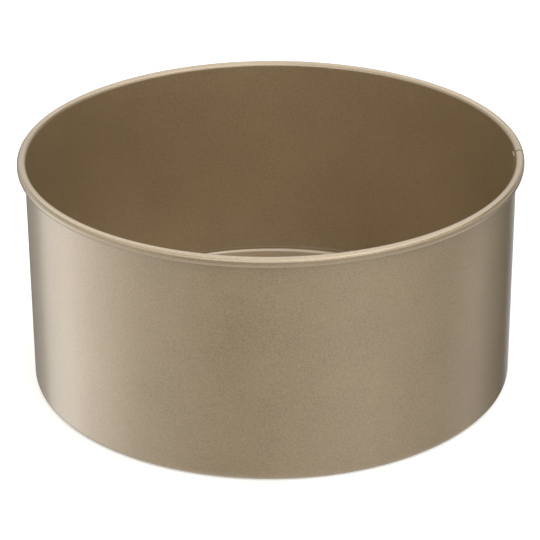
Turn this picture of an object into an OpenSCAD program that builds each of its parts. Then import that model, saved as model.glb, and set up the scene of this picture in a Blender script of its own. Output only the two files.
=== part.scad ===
// Deep round cake pan with a loose base.
// The wall is one rolled strip of coated steel: its top edge is curled over a wire, its
// foot is turned in and stepped up as a ledge, and its ends are lapped and spot welded.
// The base is a shallow pressed tray that rests on the ledge and is pushed out upwards.
// The origin is at the middle of the foot, on the surface that the pan stands on.

/* [Pan] */
// Outside diameter of the wall, below the bead
wall_d = 156.5; // [120:0.5:310]
// Height from the table to the top of the bead
pan_h = 75.5; // [40:0.5:125]
// Thickness of the wall's sheet
wall_t = 0.5; // [0.4:0.05:0.7]

/* [Rim] */
// Diameter of the wire inside the bead
wire_d = 1.8; // [1.4:0.05:3]
// Play between the wire and the curled sheet
wire_gap = 0.05; // [0.03:0.01:0.1]
// How much taller than wide the bead is
bead_rise = 0.5; // [0.1:0.05:0.8]
// Gap between the curl's cut edge and the wall
curl_gap = 0.1; // [0.05:0.01:0.2]
// Gap between the two ends of the wire
wire_end_gap = 0.8; // [0.3:0.1:2]

/* [Foot] */
// Outside radius of each of the foot's three bends
foot_r = 1.4; // [0.9:0.05:2]
// Width of the flat ring that the pan stands on
foot_flat = 0.8; // [0.5:0.1:3]
// Width of the ledge that carries the base
ledge_w = 2.8; // [1.5:0.1:6]

/* [Side seam] */
// Direction of the seam, from +X towards +Y
seam_az = -1; // [-180:1:180]
// Overlap of the strip's two ends
lap_w = 4; // [3.5:0.5:14]
// Gap between the strip's ends where bead and foot are notched
seam_gap = 0.45; // [0.2:0.05:0.8]
// Distance from the start of the bead's bend down to the top of the lap
lap_drop = 0.65; // [0.2:0.05:6]
// Depth of the line that the outer end leaves in the wall
edge_line_d = 0.2; // [0.1:0.05:0.3]
// Diameter of a spot weld's dimple
weld_d = 2.2; // [1.8:0.1:4]
// Depth of a spot weld's dimple
weld_depth = 0.12; // [0.05:0.01:0.16]
// Distance from the lap's top to the first weld
weld_inset = 3.6; // [2.5:0.1:8]
// Distance from one weld to the next
weld_pitch = 15; // [8:0.5:25]

/* [Base] */
// Thickness of the base's sheet
base_t = 0.6; // [0.4:0.05:1]
// Inside radius between the floor and the base's turned-up edge
cove_r = 1.4; // [0.8:0.1:3]
// Straight height of the base's edge, between the cove and the cut at its top
edge_straight = 0.1; // [0.1:0.1:4]
// Gap between the base's edge and the lap inside the wall
base_gap = 0.25; // [0.2:0.05:0.6]

/* [Hidden] */
$fn = 144;

cut_over = 1;
coat_colour = [0.62, 0.53, 0.41];
wire_colour = [0.66, 0.66, 0.65];

wall_or = wall_d / 2;
wall_ir = wall_or - wall_t;

bead_w = wire_d + 2 * wire_gap + 2 * wall_t;
bead_h = bead_w + bead_rise;
bead_r = bead_w / 2;
bead_mid_r = wall_ir + bead_r;
bead_low_z = pan_h - bead_h + bead_r;
bead_top_z = pan_h - bead_r;
wire_z = (bead_low_z + bead_top_z) / 2;

ledge_h = 2 * foot_r;
stand_r = wall_or - foot_r - foot_flat;
ledge_or = stand_r - ledge_h + wall_t;
ledge_ir = ledge_or - ledge_w;

lap_ir = wall_ir - wall_t;
lap_sink = wall_t / 2;
lap_top_z = bead_top_z - lap_drop;
lap_angle = 360 * lap_w / (PI * wall_d);

weld_across_share = 0.6;
weld_az = seam_az + weld_across_share * lap_angle;
weld_floor_share = 0.6;
weld_floor_d = weld_floor_share * weld_d;
weld_top_z = lap_top_z - weld_inset;
weld_count = 1 + floor((weld_top_z - ledge_h - weld_inset) / weld_pitch);

base_or = lap_ir - base_gap;
base_bend_r = cove_r + base_t;
base_flat_r = base_or - base_bend_r;
edge_low_z = ledge_h + base_bend_r;

// The quarter of a bent sheet's section between the angles a and a + 90 degrees
module bend(centre, outside_r, sheet_t, a) {
    translate(centre)
        rotate(a)
            intersection() {
                difference() {
                    circle(r = outside_r);
                    circle(r = outside_r - sheet_t);
                }
                square(outside_r + cut_over);
            }
}

// An upright oval, as wide as its two circles
module oval(r) {
    translate([bead_mid_r, bead_low_z])
        circle(r = r);
    translate([bead_mid_r, bead_top_z])
        circle(r = r);
    translate([bead_mid_r - r, bead_low_z])
        square([2 * r, bead_top_z - bead_low_z]);
}

// Section of the curl: the sheet goes over the wire and back under it to the wall
module curl_section() {
    difference() {
        oval(bead_r);
        oval(bead_r - wall_t);
        translate([wall_ir - cut_over, bead_low_z - bead_r - cut_over])
            square([wall_t + curl_gap + cut_over, bead_r + cut_over]);
    }
}

// Section of the foot: a bend under the wall, the standing ring, and a step up to the ledge
module foot_section() {
    bend([wall_or - foot_r, foot_r], foot_r, wall_t, 270);
    translate([stand_r, 0])
        square([foot_flat, wall_t]);
    bend([stand_r, foot_r], foot_r, wall_t, 180);
    bend([ledge_or, foot_r], foot_r, wall_t, 0);
    translate([ledge_ir, ledge_h - wall_t])
        square([ledge_w, wall_t]);
}

module wall_section() {
    curl_section();
    translate([wall_ir, foot_r])
        square([wall_t, bead_low_z - foot_r]);
    foot_section();
}

// The strip's inner end, which lies inside the wall between the two notches
module lap() {
    rotate_extrude(angle = lap_angle, start = seam_az)
        translate([lap_ir, ledge_h])
            square([wall_t + lap_sink, lap_top_z - ledge_h]);
}

// The butt gap through the bead, the one through the foot, and the outer end's line, which
// runs up the wall and through the curl
module seam_cuts() {
    rotate([0, 0, seam_az]) {
        translate([wall_ir - cut_over, -seam_gap / 2, lap_top_z])
            cube([bead_w + 2 * cut_over, seam_gap, pan_h - lap_top_z + cut_over]);
        translate([ledge_ir - cut_over, -seam_gap / 2, -cut_over])
            cube([wall_or - ledge_ir + 2 * cut_over, seam_gap, ledge_h + cut_over]);
        translate([wall_or - edge_line_d, -seam_gap / 2, -cut_over])
            cube([bead_w + edge_line_d, seam_gap, pan_h + 2 * cut_over]);
    }
}

// A spot weld's dimple, a shallow cone along +X whose mouth lies at x = 0
module dimple() {
    translate([-weld_depth, 0, 0])
        rotate([0, 90, 0])
            cylinder(h = 2 * weld_depth, d1 = weld_floor_d, d2 = 2 * weld_d - weld_floor_d);
}

// Spot welds leave a dimple on each side of the lap
module weld_dimples() {
    for (i = [0 : weld_count - 1])
        rotate([0, 0, weld_az])
            translate([0, 0, weld_top_z - i * weld_pitch]) {
                translate([wall_or, 0, 0])
                    dimple();
                translate([lap_ir, 0, 0])
                    mirror([1, 0, 0])
                        dimple();
            }
}

module pan_wall() {
    color(coat_colour)
        difference() {
            union() {
                rotate_extrude()
                    wall_section();
                lap();
            }
            seam_cuts();
            weld_dimples();
        }
}

module rim_wire() {
    gap_angle = 360 * wire_end_gap / (2 * PI * bead_mid_r);
    color(wire_colour)
        rotate_extrude(angle = 360 - gap_angle, start = seam_az + 180 + gap_angle / 2)
            translate([bead_mid_r, wire_z])
                circle(d = wire_d);
}

module loose_base() {
    color(coat_colour)
        rotate_extrude() {
            translate([0, ledge_h])
                square([base_flat_r, base_t]);
            bend([base_flat_r, edge_low_z], base_bend_r, base_t, 270);
            translate([base_or - base_t, edge_low_z])
                square([base_t, edge_straight]);
        }
}

pan_wall();
rim_wire();
loose_base();
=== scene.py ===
from math import acos, asin, atan2, cos, degrees, hypot, pi, radians

import bmesh
import bpy
from mathutils import Matrix, Vector


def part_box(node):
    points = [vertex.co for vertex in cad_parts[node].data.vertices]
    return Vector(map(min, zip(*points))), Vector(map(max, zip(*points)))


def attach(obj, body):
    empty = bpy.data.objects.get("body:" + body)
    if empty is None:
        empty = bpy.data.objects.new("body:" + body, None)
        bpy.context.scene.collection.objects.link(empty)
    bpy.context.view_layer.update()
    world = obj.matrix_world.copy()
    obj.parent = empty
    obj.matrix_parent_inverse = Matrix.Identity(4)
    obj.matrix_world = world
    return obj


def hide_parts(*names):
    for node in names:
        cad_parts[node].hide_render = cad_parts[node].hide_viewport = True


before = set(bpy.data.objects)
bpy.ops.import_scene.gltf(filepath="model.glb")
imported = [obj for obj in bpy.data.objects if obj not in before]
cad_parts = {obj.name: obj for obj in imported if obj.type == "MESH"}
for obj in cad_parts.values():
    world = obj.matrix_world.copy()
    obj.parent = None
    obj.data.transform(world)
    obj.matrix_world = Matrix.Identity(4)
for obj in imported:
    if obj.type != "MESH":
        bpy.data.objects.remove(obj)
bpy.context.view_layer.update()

# Wall. One strip of 0.5 mm carbon steel sheet, coated on both sides and rolled round.
# Its foot is turned in and stepped up as a ledge, and its top edge is curled over a wire.
# Its ends are notched to butt at bead and foot, and lapped and spot welded in between.
MM = 0.001
rim_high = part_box("pan_wall")[1]
pan_h = rim_high.z
sheet_t = 0.5 * MM

bead_w = 2.9 * MM
bead_h = 3.4 * MM
bead_r = bead_w / 2
bead_top_z = pan_h - bead_r
bead_low_z = pan_h - bead_h + bead_r
curl_gap = 0.1 * MM
wall_ir = rim_high.x - bead_w
wall_or = wall_ir + sheet_t
bead_mid_r = wall_ir + bead_r
curl_turn = degrees(acos((sheet_t + curl_gap - bead_r) / bead_r))

foot_r = 1.4 * MM
foot_flat = 0.8 * MM
ledge_w = 2.8 * MM
ledge_h = 2 * foot_r
stand_r = wall_or - foot_r - foot_flat
ledge_or = stand_r - ledge_h + sheet_t
ledge_ir = ledge_or - ledge_w

seam_az = radians(-1)
seam_gap = 0.6 * MM
lap_w = 4 * MM
lap_drop = 0.65 * MM
lap_top_z = bead_top_z - lap_drop
lap_play = 0.02 * MM
edge_thinned = 0.2 * MM
thinned_reach = 1.5 * lap_w
thinned_depth_share = 0.9
joggle_w = 1.5 * MM

weld_d = 2.2 * MM
weld_floor_share = 0.6
weld_depth = 0.12 * MM
weld_inset = 3.6 * MM
weld_pitch = 15 * MM
weld_count = 5
weld_across_share = 0.6
weld_arc = weld_across_share * lap_w
welds_z = [lap_top_z - weld_inset - i * weld_pitch for i in range(weld_count)]
weld_rows = 10
weld_row_share = 0.55
weld_row_reach = weld_row_share * weld_d

fine_step = 0.3 * MM
fine_arc = lap_w + joggle_w
joggle_steps = 8
coarse_steps = 250
bend_steps = 8
bead_steps = 18
sharp_angle = radians(35)

coat_dark = "#917d5e"
coat_pale = "#b19b77"
flake_w = 0.5 * MM
cloud_w = 18 * MM
cloud_share = 0.35
grain_depth = 0.01 * MM


def run(bm, tip, out, up):
    """Draws the sheet's line on, straight, and returns its new tip."""
    end = bmesh.ops.extrude_vert_indiv(bm, verts=[tip])["verts"][0]
    end.co += Vector((out, 0, up))
    return end


def bend(bm, tip, centre, turn, steps):
    """Draws the sheet's line on round a centre, clockwise for a positive turn in degrees."""
    made = bmesh.ops.spin(
        bm, geom=[tip], cent=(centre[0], 0, centre[1]), axis=(0, 1, 0), angle=radians(turn), steps=steps
    )
    return next(g for g in made["geom_last"] if isinstance(g, bmesh.types.BMVert))


def roll(bm, column, arc, steps):
    """Rolls the sheet on round the pan's axis by an arc in radians, and returns its new end."""
    made = bmesh.ops.spin(bm, geom=column, cent=(0, 0, 0), axis=(0, 0, 1), angle=arc, steps=steps)
    return made["geom_last"]


def smooth(share):
    """Eases a share from 0 to 1."""
    share = min(max(share, 0), 1)
    return share * share * (3 - 2 * share)


def past_seam(vert):
    """Distance round the wall from the seam to a point of the sheet."""
    return (atan2(vert.co.y, vert.co.x) - seam_az) * wall_or


def weld_dent(arc, z):
    """Depth of a spot weld's dimple at a place on the lap, measured from the seam."""
    off = min(hypot(arc - weld_arc, z - weld_z) for weld_z in welds_z)
    mouth_r = weld_d / 2
    floor_r = mouth_r * weld_floor_share
    return weld_depth * (1 - smooth((off - floor_r) / (mouth_r - floor_r)))


def move_out(vert, distance):
    """Moves a point of the sheet away from the pan's axis."""
    share = 1 + distance / hypot(vert.co.x, vert.co.y)
    vert.co.x *= share
    vert.co.y *= share


def finish_piece(bm, name, material):
    """Turns a bmesh into a smooth-shaded object, whose edges stay sharp past the sharp angle."""
    mesh = bpy.data.meshes.new(name)
    bm.to_mesh(mesh)
    bm.free()
    mesh.shade_smooth()
    mesh.set_sharp_from_angle(angle=sharp_angle)
    mesh.materials.append(material)
    piece = bpy.data.objects.new(name, mesh)
    bpy.context.scene.collection.objects.link(piece)
    return piece


def paint(hex_colour):
    """An sRGB hex colour as linear red, green, blue and alpha."""
    levels = [int(hex_colour[i : i + 2], 16) / 255 for i in (1, 3, 5)]
    return [c / 12.92 if c <= 0.04045 else ((c + 0.055) / 1.055) ** 2.4 for c in levels] + [1]


def add(tree, kind, settings, links=None):
    """Adds a node with its settings, and links its inputs to the outputs of other nodes."""
    made = tree.nodes.new(kind)
    for name, value in settings.items():
        if isinstance(name, int) or name in made.inputs:
            made.inputs[name].default_value = value
        else:
            setattr(made, name, value)
    for name, (source, output) in (links or {}).items():
        tree.links.new(source.outputs[output], made.inputs[name])
    return made


def coated_steel(name):
    """Champagne non-stick coat: a silicone-polyester enamel sprayed on steel, with mica flakes.
    The tinted resin gives a broad brown glow, the flakes a soft whitish sheen with fine sparkle,
    and the smooth top of the film a thin clear gloss."""
    made = bpy.data.materials.new(name)
    made.use_nodes = True
    tree = made.node_tree
    shader = tree.nodes["Principled BSDF"]
    place = add(tree, "ShaderNodeTexCoord", {})
    where = {"Vector": (place, "Object")}
    # Real flakes are 0.03 mm wide: here clusters 0.5 mm wide, so that they show in the picture
    flakes = add(tree, "ShaderNodeTexNoise", {"Scale": 1 / flake_w, "Detail": 2.0}, where)
    cloud = add(tree, "ShaderNodeTexNoise", {"Scale": 1 / cloud_w, "Detail": 3.0}, where)
    both = add(
        tree,
        "ShaderNodeMath",
        {"operation": "MULTIPLY_ADD", 1: cloud_share},
        {0: (cloud, "Fac"), 2: (flakes, "Fac")},
    )
    share = add(
        tree,
        "ShaderNodeMapRange",
        {"From Min": 0.35, "From Max": 1.0, "To Min": 0.0, "To Max": 1.0},
        {"Value": (both, 0)},
    )
    tint = add(
        tree,
        "ShaderNodeMix",
        {"data_type": "RGBA", 6: paint(coat_dark), 7: paint(coat_pale)},
        {"Factor": (share, "Result")},
    )
    tree.links.new(tint.outputs[2], shader.inputs["Base Color"])
    gloss = add(
        tree,
        "ShaderNodeMapRange",
        {"From Min": 0.3, "From Max": 0.7, "To Min": 0.35, "To Max": 0.45},
        {"Value": (flakes, "Fac")},
    )
    tree.links.new(gloss.outputs["Result"], shader.inputs["Roughness"])
    grain = add(
        tree, "ShaderNodeBump", {"Strength": 0.25, "Distance": grain_depth}, {"Height": (flakes, "Fac")}
    )
    tree.links.new(grain.outputs["Normal"], shader.inputs["Normal"])
    shader.inputs["Metallic"].default_value = 0.6
    shader.inputs["Coat Weight"].default_value = 1.0
    shader.inputs["Coat IOR"].default_value = 2.0
    shader.inputs["Coat Roughness"].default_value = 0.17
    return made


sheet = bmesh.new()
tip = sheet.verts.new((ledge_ir, 0, ledge_h))
tip = run(sheet, tip, ledge_w, 0)
tip = bend(sheet, tip, (ledge_or, foot_r), 90, bend_steps)
tip = bend(sheet, tip, (stand_r, foot_r), -90, bend_steps)
tip = run(sheet, tip, foot_flat, 0)
tip = bend(sheet, tip, (wall_or - foot_r, foot_r), -90, bend_steps)
rows = [ledge_h, lap_top_z, (lap_top_z + bead_top_z) / 2, bead_top_z]
for weld_z in welds_z:
    rows += [weld_z + weld_row_reach * (2 * i / weld_rows - 1) for i in range(weld_rows + 1)]
for z in sorted(rows):
    tip = run(sheet, tip, 0, z - tip.co.z)
tip = bend(sheet, tip, (bead_mid_r, bead_top_z), 180, bead_steps)
tip = run(sheet, tip, 0, bead_w - bead_h)
tip = bend(sheet, tip, (bead_mid_r, bead_low_z), curl_turn, bead_steps)

gap_arc = seam_gap / wall_or
bmesh.ops.rotate(sheet, verts=sheet.verts, matrix=Matrix.Rotation(seam_az + gap_arc / 2, 3, "Z"))
outer_end = sheet.verts[:] + sheet.edges[:]
column = roll(sheet, outer_end, fine_arc / wall_or, round(fine_arc / fine_step))
column = roll(sheet, column, 2 * pi - gap_arc - (fine_arc + joggle_w) / wall_or, coarse_steps)
column = roll(sheet, column, joggle_w / wall_or, joggle_steps)
strip = set(sheet.verts)
lapped = {
    v
    for v in column
    if isinstance(v, bmesh.types.BMVert)
    and ledge_h - sheet_t / 2 < v.co.z < lap_top_z + sheet_t / 2
    and hypot(v.co.x, v.co.y) > wall_ir - sheet_t / 2
}
lapped_edges = [e for e in column if isinstance(e, bmesh.types.BMEdge) and set(e.verts) <= lapped]
roll(sheet, list(lapped) + lapped_edges, (lap_w + seam_gap / 2) / wall_or, round(lap_w / fine_step))

for v in sheet.verts:
    arc = past_seam(v)
    if v not in strip:
        move_out(v, weld_dent(arc, v.co.z) - sheet_t - lap_play)
    elif wall_ir - sheet_t / 2 < hypot(v.co.x, v.co.y) < wall_ir + sheet_t / 2:
        if abs(arc - weld_arc) < weld_d and v.co.z > ledge_h:
            move_out(v, -weld_dent(arc, v.co.z))
        elif -joggle_w - seam_gap < arc < 0 and foot_r < v.co.z < bead_top_z:
            from_foot = (v.co.z - foot_r) / (ledge_h - foot_r)
            from_bead = (bead_top_z - v.co.z) / (bead_top_z - lap_top_z)
            across = (arc + joggle_w + seam_gap / 2) / joggle_w
            move_out(v, -(sheet_t + lap_play) * smooth(min(from_foot, from_bead)) * smooth(across))

bmesh.ops.recalc_face_normals(sheet, faces=sheet.faces)
bmesh.ops.solidify(sheet, geom=sheet.faces[:], thickness=sheet_t)
for v in sheet.verts:
    inside = hypot(v.co.x, v.co.y) < wall_ir - thinned_depth_share * sheet_t
    if inside and -joggle_w < past_seam(v) < thinned_reach and abs(v.co.z - lap_top_z) < lap_play:
        move_out(v, edge_thinned)
wall_strip = finish_piece(sheet, "wall_strip", coated_steel("champagne_coat_wall"))
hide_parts("pan_wall")
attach(wall_strip, "pan")

# Rim wire. A ring of 1.8 mm galvanised steel wire, bent round and laid in before the rim is curled.
# Its ends don't meet: they leave a small gap opposite the side seam.
wire_d = 1.8 * MM
wire_end_gap = 0.8 * MM
wire_low, wire_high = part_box("rim_wire")
wire_z = (wire_low.z + wire_high.z) / 2
wire_sides = 24
wire_steps = 256
zinc_grain_w = 0.4 * MM


def zinc_grey_with_painted_shade(name):
    """Drawn steel wire with a thin zinc coat, half dull, with fine zinc grains. Its grey is painted
    darker than the zinc's own, as painted shade for the wire in the bead's slit.
    """
    made = bpy.data.materials.new(name)
    made.use_nodes = True
    tree = made.node_tree
    shader = tree.nodes["Principled BSDF"]
    place = add(tree, "ShaderNodeTexCoord", {})
    grain = add(tree, "ShaderNodeTexVoronoi", {"Scale": 1 / zinc_grain_w}, {"Vector": (place, "Object")})
    # Both greys are darker than bare zinc: painted shade for the wire where it shows in the bead's slit
    tint = add(
        tree,
        "ShaderNodeMix",
        {"data_type": "RGBA", 6: paint("#64635f"), 7: paint("#8b8a86")},
        {"Factor": (grain, "Distance")},
    )
    tree.links.new(tint.outputs[2], shader.inputs["Base Color"])
    shader.inputs["Metallic"].default_value = 1.0
    shader.inputs["Roughness"].default_value = 0.42
    return made


wire = bmesh.new()
bmesh.ops.create_circle(wire, segments=wire_sides, radius=wire_d / 2)
bmesh.ops.rotate(wire, verts=wire.verts, matrix=Matrix.Rotation(pi / 2, 3, "X"))
bmesh.ops.translate(wire, verts=wire.verts, vec=(bead_mid_r, 0, wire_z))
wire_gap_arc = wire_end_gap / bead_mid_r
wire_start = seam_az + pi + wire_gap_arc / 2
bmesh.ops.rotate(wire, verts=wire.verts, matrix=Matrix.Rotation(wire_start, 3, "Z"))
roll(wire, wire.verts[:] + wire.edges[:], 2 * pi - wire_gap_arc, wire_steps)
bmesh.ops.holes_fill(wire, edges=[e for e in wire.edges if e.is_boundary])
bmesh.ops.recalc_face_normals(wire, faces=wire.faces)
wire_ring = finish_piece(wire, "wire_ring", zinc_grey_with_painted_shade("galvanised_wire_painted_shade"))
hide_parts("rim_wire")
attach(wire_ring, "pan")

# Loose base. A disc of 0.6 mm steel sheet, coated on both sides, pressed into a shallow tray.
# Its edge is turned up in a small cove, thinned by the press, and ends in a narrow lip that
# nearly touches the wall and is drawn back at the lap. It rests on the wall's ledge.
base_t = 0.6 * MM
cove_r = 1.4 * MM
edge_straight = 0.1 * MM
lip_t = 0.4 * MM
lip_play = 0.12 * MM
lip_lap_play = 0.05 * MM
base_low, base_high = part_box("loose_base")
base_or = base_high.x
lip_or = wall_ir - lip_play
floor_z = base_low.z + base_t
under_r = cove_r + base_t
cove_mid = (base_or - lip_t - cove_r, floor_z + cove_r)
under_mid = (base_or - under_r, base_low.z + under_r)
lip_turn = asin((lip_t - edge_straight) / under_r)
merge_reach = sheet_t / 100
cove_steps = 10
base_steps = 288

tray = bmesh.new()
tip = tray.verts.new((0, 0, floor_z))
tip = run(tray, tip, cove_mid[0], 0)
tip = bend(tray, tip, cove_mid, -90, cove_steps)
tip = run(tray, tip, 0, edge_straight)
tip = run(tray, tip, lip_or - tip.co.x, 0)
tip = run(tray, tip, 0, -lip_t)
tip = run(tray, tip, under_mid[0] + under_r * cos(lip_turn) - lip_or, 0)
tip = bend(tray, tip, under_mid, 90 - degrees(lip_turn), cove_steps)
tip = run(tray, tip, -tip.co.x, 0)
line = tray.verts[:] + tray.edges[:]
bmesh.ops.spin(
    tray, geom=line, cent=(0, 0, 0), axis=(0, 0, 1), angle=2 * pi, steps=base_steps, use_merge=True
)
bmesh.ops.remove_doubles(tray, verts=tray.verts, dist=merge_reach)
for v in tray.verts:
    if hypot(v.co.x, v.co.y) > base_or + lip_lap_play:
        arc = past_seam(v)
        beyond = max(arc - lap_w, -arc - joggle_w - seam_gap, 0)
        move_out(v, (lip_play - sheet_t - lap_play - lip_lap_play) * (1 - smooth(beyond / lap_w)))
bmesh.ops.recalc_face_normals(tray, faces=tray.faces)
base_tray = finish_piece(tray, "base_tray", coated_steel("champagne_coat_base"))
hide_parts("loose_base")
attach(base_tray, "base")

# Floor. A plain pale sheet that the pan stands on, white to the camera, with the pan's soft shadow.
# It is hidden from reflections, so the coat mirrors the light's lower rings there instead.
floor_size = 6.0
floor_drop = 0.05 * MM
floor_glow = 0.25
floor_bm = bmesh.new()
bmesh.ops.create_grid(floor_bm, x_segments=1, y_segments=1, size=floor_size / 2)
bmesh.ops.translate(floor_bm, verts=floor_bm.verts, vec=(0, 0, -floor_drop))
white_floor = bpy.data.materials.new("white_sheet")
white_floor.use_nodes = True
floor_tree = white_floor.node_tree
floor_shader = floor_tree.nodes["Principled BSDF"]
floor_shader.inputs["Base Color"].default_value = paint("#f2f1ee")
floor_shader.inputs["Roughness"].default_value = 0.9
floor_shader.inputs["Emission Color"].default_value = paint("#ffffff")
floor_rays = add(floor_tree, "ShaderNodeLightPath", {})
glow = add(
    floor_tree,
    "ShaderNodeMath",
    {"operation": "MULTIPLY", 1: floor_glow},
    {0: (floor_rays, "Is Camera Ray")},
)
floor_tree.links.new(glow.outputs[0], floor_shader.inputs["Emission Strength"])
floor = finish_piece(floor_bm, "floor_sheet", white_floor)
floor.visible_glossy = False

# Light. Soft white light from all round, in rings one above the other. Their levels were fitted to
# the photograph's shading: brightest high up in front, and below the horizon brightest at the left.
# The camera alone sees plain white, and the coat mirrors the rings.
world = bpy.data.worlds.new("studio")
bpy.context.scene.world = world
world.use_nodes = True
sky = world.node_tree
way = add(sky, "ShaderNodeTexCoord", {})
parts = add(sky, "ShaderNodeSeparateXYZ", {}, {"Vector": (way, "Generated")})
to_camera = add(sky, "ShaderNodeMath", {"operation": "MULTIPLY", 1: -1.0}, {0: (parts, "Y")})
azimuth = add(sky, "ShaderNodeMath", {"operation": "ARCTAN2"}, {0: (parts, "X"), 1: (to_camera, 0)})
around = add(sky, "ShaderNodeMapRange", {"From Min": -pi, "From Max": pi}, {"Value": (azimuth, 0)})
elevation = add(sky, "ShaderNodeMath", {"operation": "ARCSINE"}, {0: (parts, "Z")})
ring_blur = 4


def ring(below, low, places, levels):
    """A ring of light from a low elevation upwards, over the rings below it. Its levels stand at
    places in degrees of azimuth, from the camera's side and positive to the right."""
    ramp = add(sky, "ShaderNodeValToRGB", {}, {"Fac": (around, "Result")})
    stops = ramp.color_ramp.elements
    stops[0].position = 0
    stops[1].position = 1
    for place in places[1:-1]:
        stops.new((place + 180) / 360)
    for stop, level in zip(stops, levels):
        stop.color = (level, level, level, 1)
    share = add(
        sky,
        "ShaderNodeMapRange",
        {
            "interpolation_type": "SMOOTHSTEP",
            "From Min": radians(low - ring_blur),
            "From Max": radians(low + ring_blur),
        },
        {"Value": (elevation, 0)},
    )
    links = {"Factor": (share, "Result"), 7: (ramp, "Color")}
    if below:
        links[6] = (below, 2)
    return add(sky, "ShaderNodeMix", {"data_type": "RGBA"}, links)


light = ring(None, -95, [-180, -90, 90, 180], [0.68, 0.71, 0.65, 0.68])
light = ring(
    light,
    -36,
    [-180, -164, -142, -130, -110, -88, -65, -20, 40, 88, 112, 128, 148, 170, 180],
    [0.43, 0.21, 0.32, 1.15, 1.66, 1.22, 0.75, 0.27, 0.59, 0.31, 0.44, 0.15, 0.04, 0.66, 0.43],
)
light = ring(
    light,
    -16,
    [-180, -160, -120, -50, 25, 75, 120, 160, 180],
    [0.0, 0.0, 0.97, 0.07, 0.15, 0.0, 0.88, 0.0, 0.0],
)
upper_places = [-180, -160, -100, -20, 60, 120, 160, 180]
light = ring(light, -2, upper_places, [0.66, 0.61, 0.92, 0.77, 2.22, 0.0, 0.7, 0.66])
light = ring(light, 14, upper_places, [0.78, 0.77, 0.23, 2.32, 0.01, 0.0, 0.8, 0.78])
light = ring(light, 30, [-180, -135, -45, 45, 135, 180], [1.46, 1.65, 0.64, 2.71, 1.28, 1.46])
light = ring(light, 55, [-180, 0, 180], [1.46, 1.46, 1.46])
sky_rays = add(sky, "ShaderNodeLightPath", {})
picture = add(
    sky,
    "ShaderNodeMix",
    {"data_type": "RGBA", 7: paint("#ffffff")},
    {"Factor": (sky_rays, "Is Camera Ray"), 6: (light, 2)},
)
sky.links.new(picture.outputs[2], sky.nodes["Background"].inputs["Color"])

# Camera. It looks down at the pan by 26 degrees from three quarters of a metre away.
# Its place, tilt and lens were fitted to the outlines in the photograph.
look_down = radians(25.959)
distance = 758.3 * MM
aside = -0.39 * MM
above = -4.41 * MM
tilt = radians(-0.322)
lens_mm = 155.15
film_w_mm = 36
nearest = 10 * MM
eye = bpy.data.cameras.new("camera")
eye.lens = lens_mm
eye.sensor_width = film_w_mm
eye.clip_start = nearest
camera = bpy.data.objects.new("camera", eye)
turned = Matrix.Rotation(pi / 2 - look_down, 4, "X") @ Matrix.Translation((aside, above, distance))
camera.matrix_world = Matrix.Translation((0, 0, pan_h / 2)) @ turned @ Matrix.Rotation(tilt, 4, "Z")
bpy.context.scene.collection.objects.link(camera)
bpy.context.scene.camera = camera
bpy.context.scene.view_settings.view_transform = "Standard"
